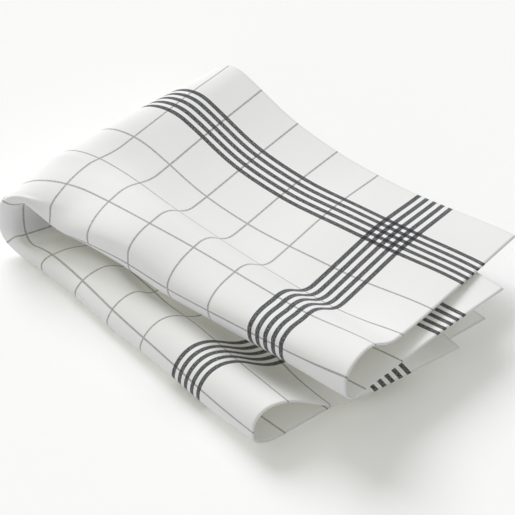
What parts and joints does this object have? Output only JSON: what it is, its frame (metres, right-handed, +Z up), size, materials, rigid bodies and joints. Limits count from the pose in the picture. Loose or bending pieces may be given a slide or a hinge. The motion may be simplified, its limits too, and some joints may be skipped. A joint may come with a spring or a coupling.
{
  "type": "folded checked napkin",
  "caption": "White cloth napkin with a thin grey check and a striped border, folded loosely in quarters and lying flat.",
  "frame": {"origin": "middle of the bounding box, on the surface the napkin rests on", "axes": "+X along the folded rolls towards the cut edges, +Y from the rolls towards the back, +Z up"},
  "size_m": [0.3268, 0.2646, 0.0719],
  "materials": {
    "cloth": "matt woven, white with grey stripes"
  },
  "bodies": {
    "root": {"napkin": "cloth"}
  },
  "joints": []
}
